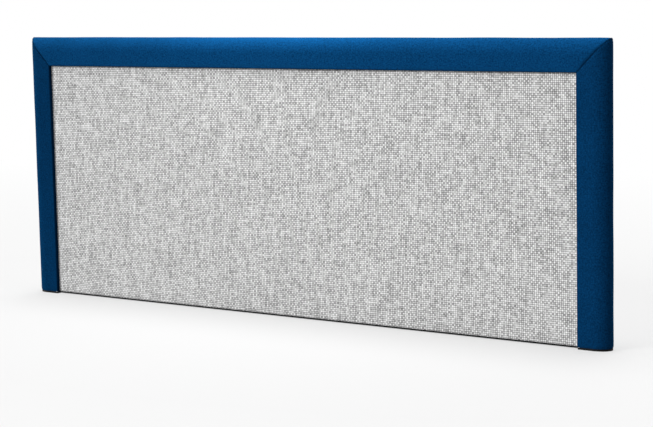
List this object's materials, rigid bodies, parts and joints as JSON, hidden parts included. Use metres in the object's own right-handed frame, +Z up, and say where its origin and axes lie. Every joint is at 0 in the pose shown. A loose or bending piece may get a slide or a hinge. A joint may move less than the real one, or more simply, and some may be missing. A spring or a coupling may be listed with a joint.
{
  "type": "desk privacy panel",
  "caption": "Long low upholstered screen for the back of a desk: flat woven centre panel framed on the top and both ends by padded round-edged rails.",
  "frame": {"origin": "middle of the footprint, on the underside of the foot caps", "axes": "+X along the panel to the right as seen from the front, +Y from front face to rear face, +Z up"},
  "size_m": [1.524, 0.046, 0.6096],
  "materials": {
    "rail_cover_fabric": "navy woven polyester with a slight sheen",
    "panel_fabric": "mid-grey linen-look weave, matt",
    "padding_foam": "cut polyether foam",
    "batting": "white polyester wadding",
    "channel_aluminium": "mill finish",
    "stiffening_strip": "grey extruded polystyrene batten",
    "zinc_steel": "bright zinc plated",
    "timber": "planed softwood",
    "infill_board": "low-density fibreboard",
    "dowel_beech": "fluted beech",
    "black_plastic": "fine textured black",
    "black_steel": "black oxide",
    "insert_brass": "machined"
  },
  "bodies": {
    "root": {"left_cover": "rail_cover_fabric", "left_foam": "padding_foam", "left_channel": "channel_aluminium", "left_edge_strips": "stiffening_strip", "right_cover": "rail_cover_fabric", "right_foam": "padding_foam", "right_channel": "channel_aluminium", "right_edge_strips": "stiffening_strip", "top_cover": "rail_cover_fabric", "top_foam": "padding_foam", "top_channel": "channel_aluminium", "top_edge_strips": "stiffening_strip", "corner_brackets": "zinc_steel", "bracket_screws": "zinc_steel", "frame_screws": "zinc_steel", "core_left_stile": "timber", "core_right_stile": "timber", "core_top_rail": "timber", "core_bottom_rail": "timber", "infill_board": "infill_board", "core_dowels": "dowel_beech", "front_batting": "batting", "rear_batting": "batting", "front_fabric": "panel_fabric", "rear_fabric": "panel_fabric", "left_foot_cap": "black_plastic", "right_foot_cap": "black_plastic", "base_trim": "black_plastic", "cap_screws": "black_steel", "trim_screws": "black_steel", "threaded_inserts": "insert_brass"}
  },
  "joints": []
}
